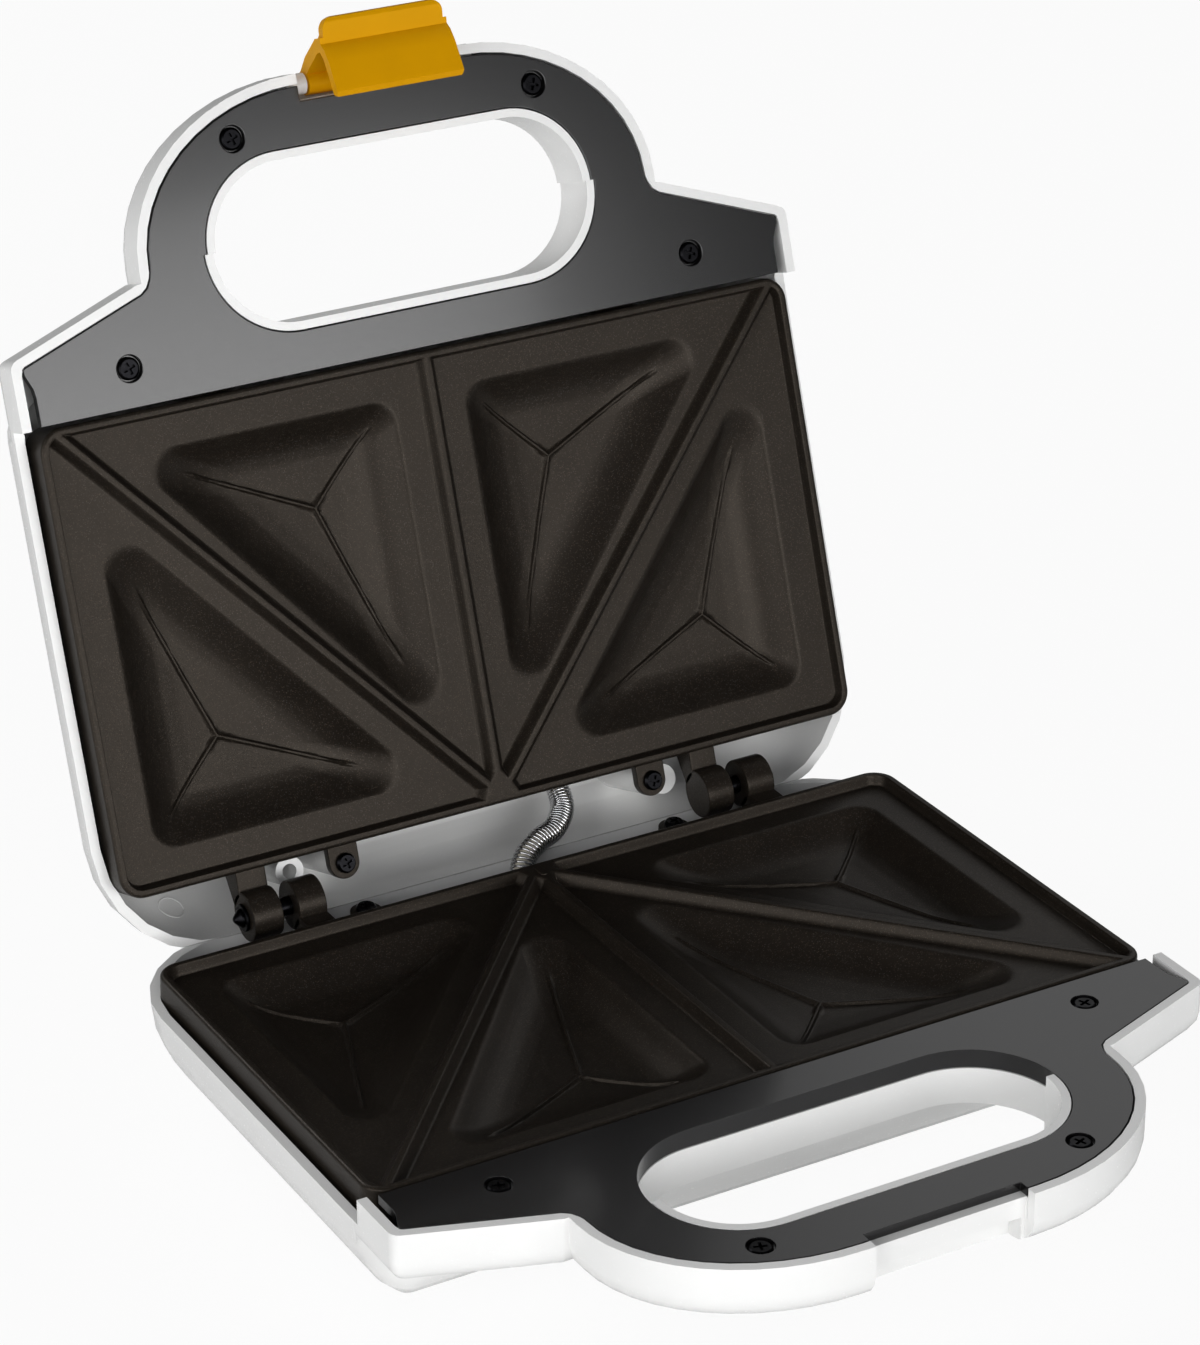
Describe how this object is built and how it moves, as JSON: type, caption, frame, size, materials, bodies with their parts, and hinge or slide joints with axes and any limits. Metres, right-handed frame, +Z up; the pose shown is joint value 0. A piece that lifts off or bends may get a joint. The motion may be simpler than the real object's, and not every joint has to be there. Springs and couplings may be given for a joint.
{
  "type": "sandwich toaster",
  "caption": "Hinged two-slice sandwich toaster, open, with triangular-pocket cast plates, loop handles with covers, a latch clip and a sheathed lead.",
  "frame": {"origin": "on the floor under the middle of the open toaster's box, between the feet bottoms' plane and the box's sides", "axes": "+X to the right as the user faces the handle side, +Y towards the hinge and back, +Z up"},
  "size_m": [0.2278, 0.2886, 0.2547],
  "materials": {
    "casing": "smooth moulded gloss",
    "cover": "polished black",
    "plate": "speckled non-stick coating, satin",
    "dark_screw": "black zinc",
    "element": "heat-tinted sheath",
    "reflector": "bright sheet",
    "steel_screw": "zinc plated",
    "foot": "matt",
    "pin": "dark coated",
    "pin_steel": "drawn",
    "gland": "moulded",
    "insulator": "moulded",
    "wire": "sleeved",
    "spring": "bright wire",
    "lead": "sleeved",
    "thermostat": "ceramic-like",
    "fuse": "sleeved",
    "board": "laminate",
    "neon": "clear bulb",
    "lens_red": "tinted",
    "lens_green": "tinted",
    "latch": "satin moulded"
  },
  "bodies": {
    "base": {"lower_shell": "casing", "lower_handle_cover": "cover", "lower_plate": "plate", "lower_cover_screws": "dark_screw", "lower_plate_screws": "dark_screw", "lower_heating_element": "element", "lower_heat_shield": "reflector", "lower_shield_screws": "steel_screw", "rubber_feet": "foot", "hinge_pin_left": "pin", "hinge_pin_right": "pin", "cord_gland": "gland", "cord_clamp": "insulator", "cord_clamp_screws": "steel_screw", "terminal_block": "insulator", "lower_wiring": "wire", "spring_sheath": "spring", "link_lead": "lead"},
    "lid": {"upper_shell": "casing", "upper_handle_cover": "cover", "upper_plate": "plate", "upper_cover_screws": "dark_screw", "upper_plate_screws": "dark_screw", "upper_heating_element": "element", "upper_heat_shield": "reflector", "upper_shield_screws": "steel_screw", "thermostat": "thermostat", "thermal_fuse": "fuse", "lamp_board": "board", "power_lamp": "neon", "ready_lamp": "neon", "power_lens": "lens_red", "ready_lens": "lens_green", "upper_wiring": "wire", "latch_pin": "pin_steel"},
    "latch": {"latch_clip": "latch"}
  },
  "joints": [
    {"name": "lid_hinge", "type": "hinge", "parent": "base", "child": "lid", "pos_m": [0, 0.06628, 0.0402], "axis": [1, 0, 0], "range_deg": [0, 108.1], "deforming": ["spring_sheath", "link_lead"]},
    {"name": "latch_pivot", "type": "hinge", "parent": "lid", "child": "latch", "pos_m": [0, 0.13765, 0.23539], "axis": [-1, 0, 0], "range_deg": [0, 60]}
  ]
}
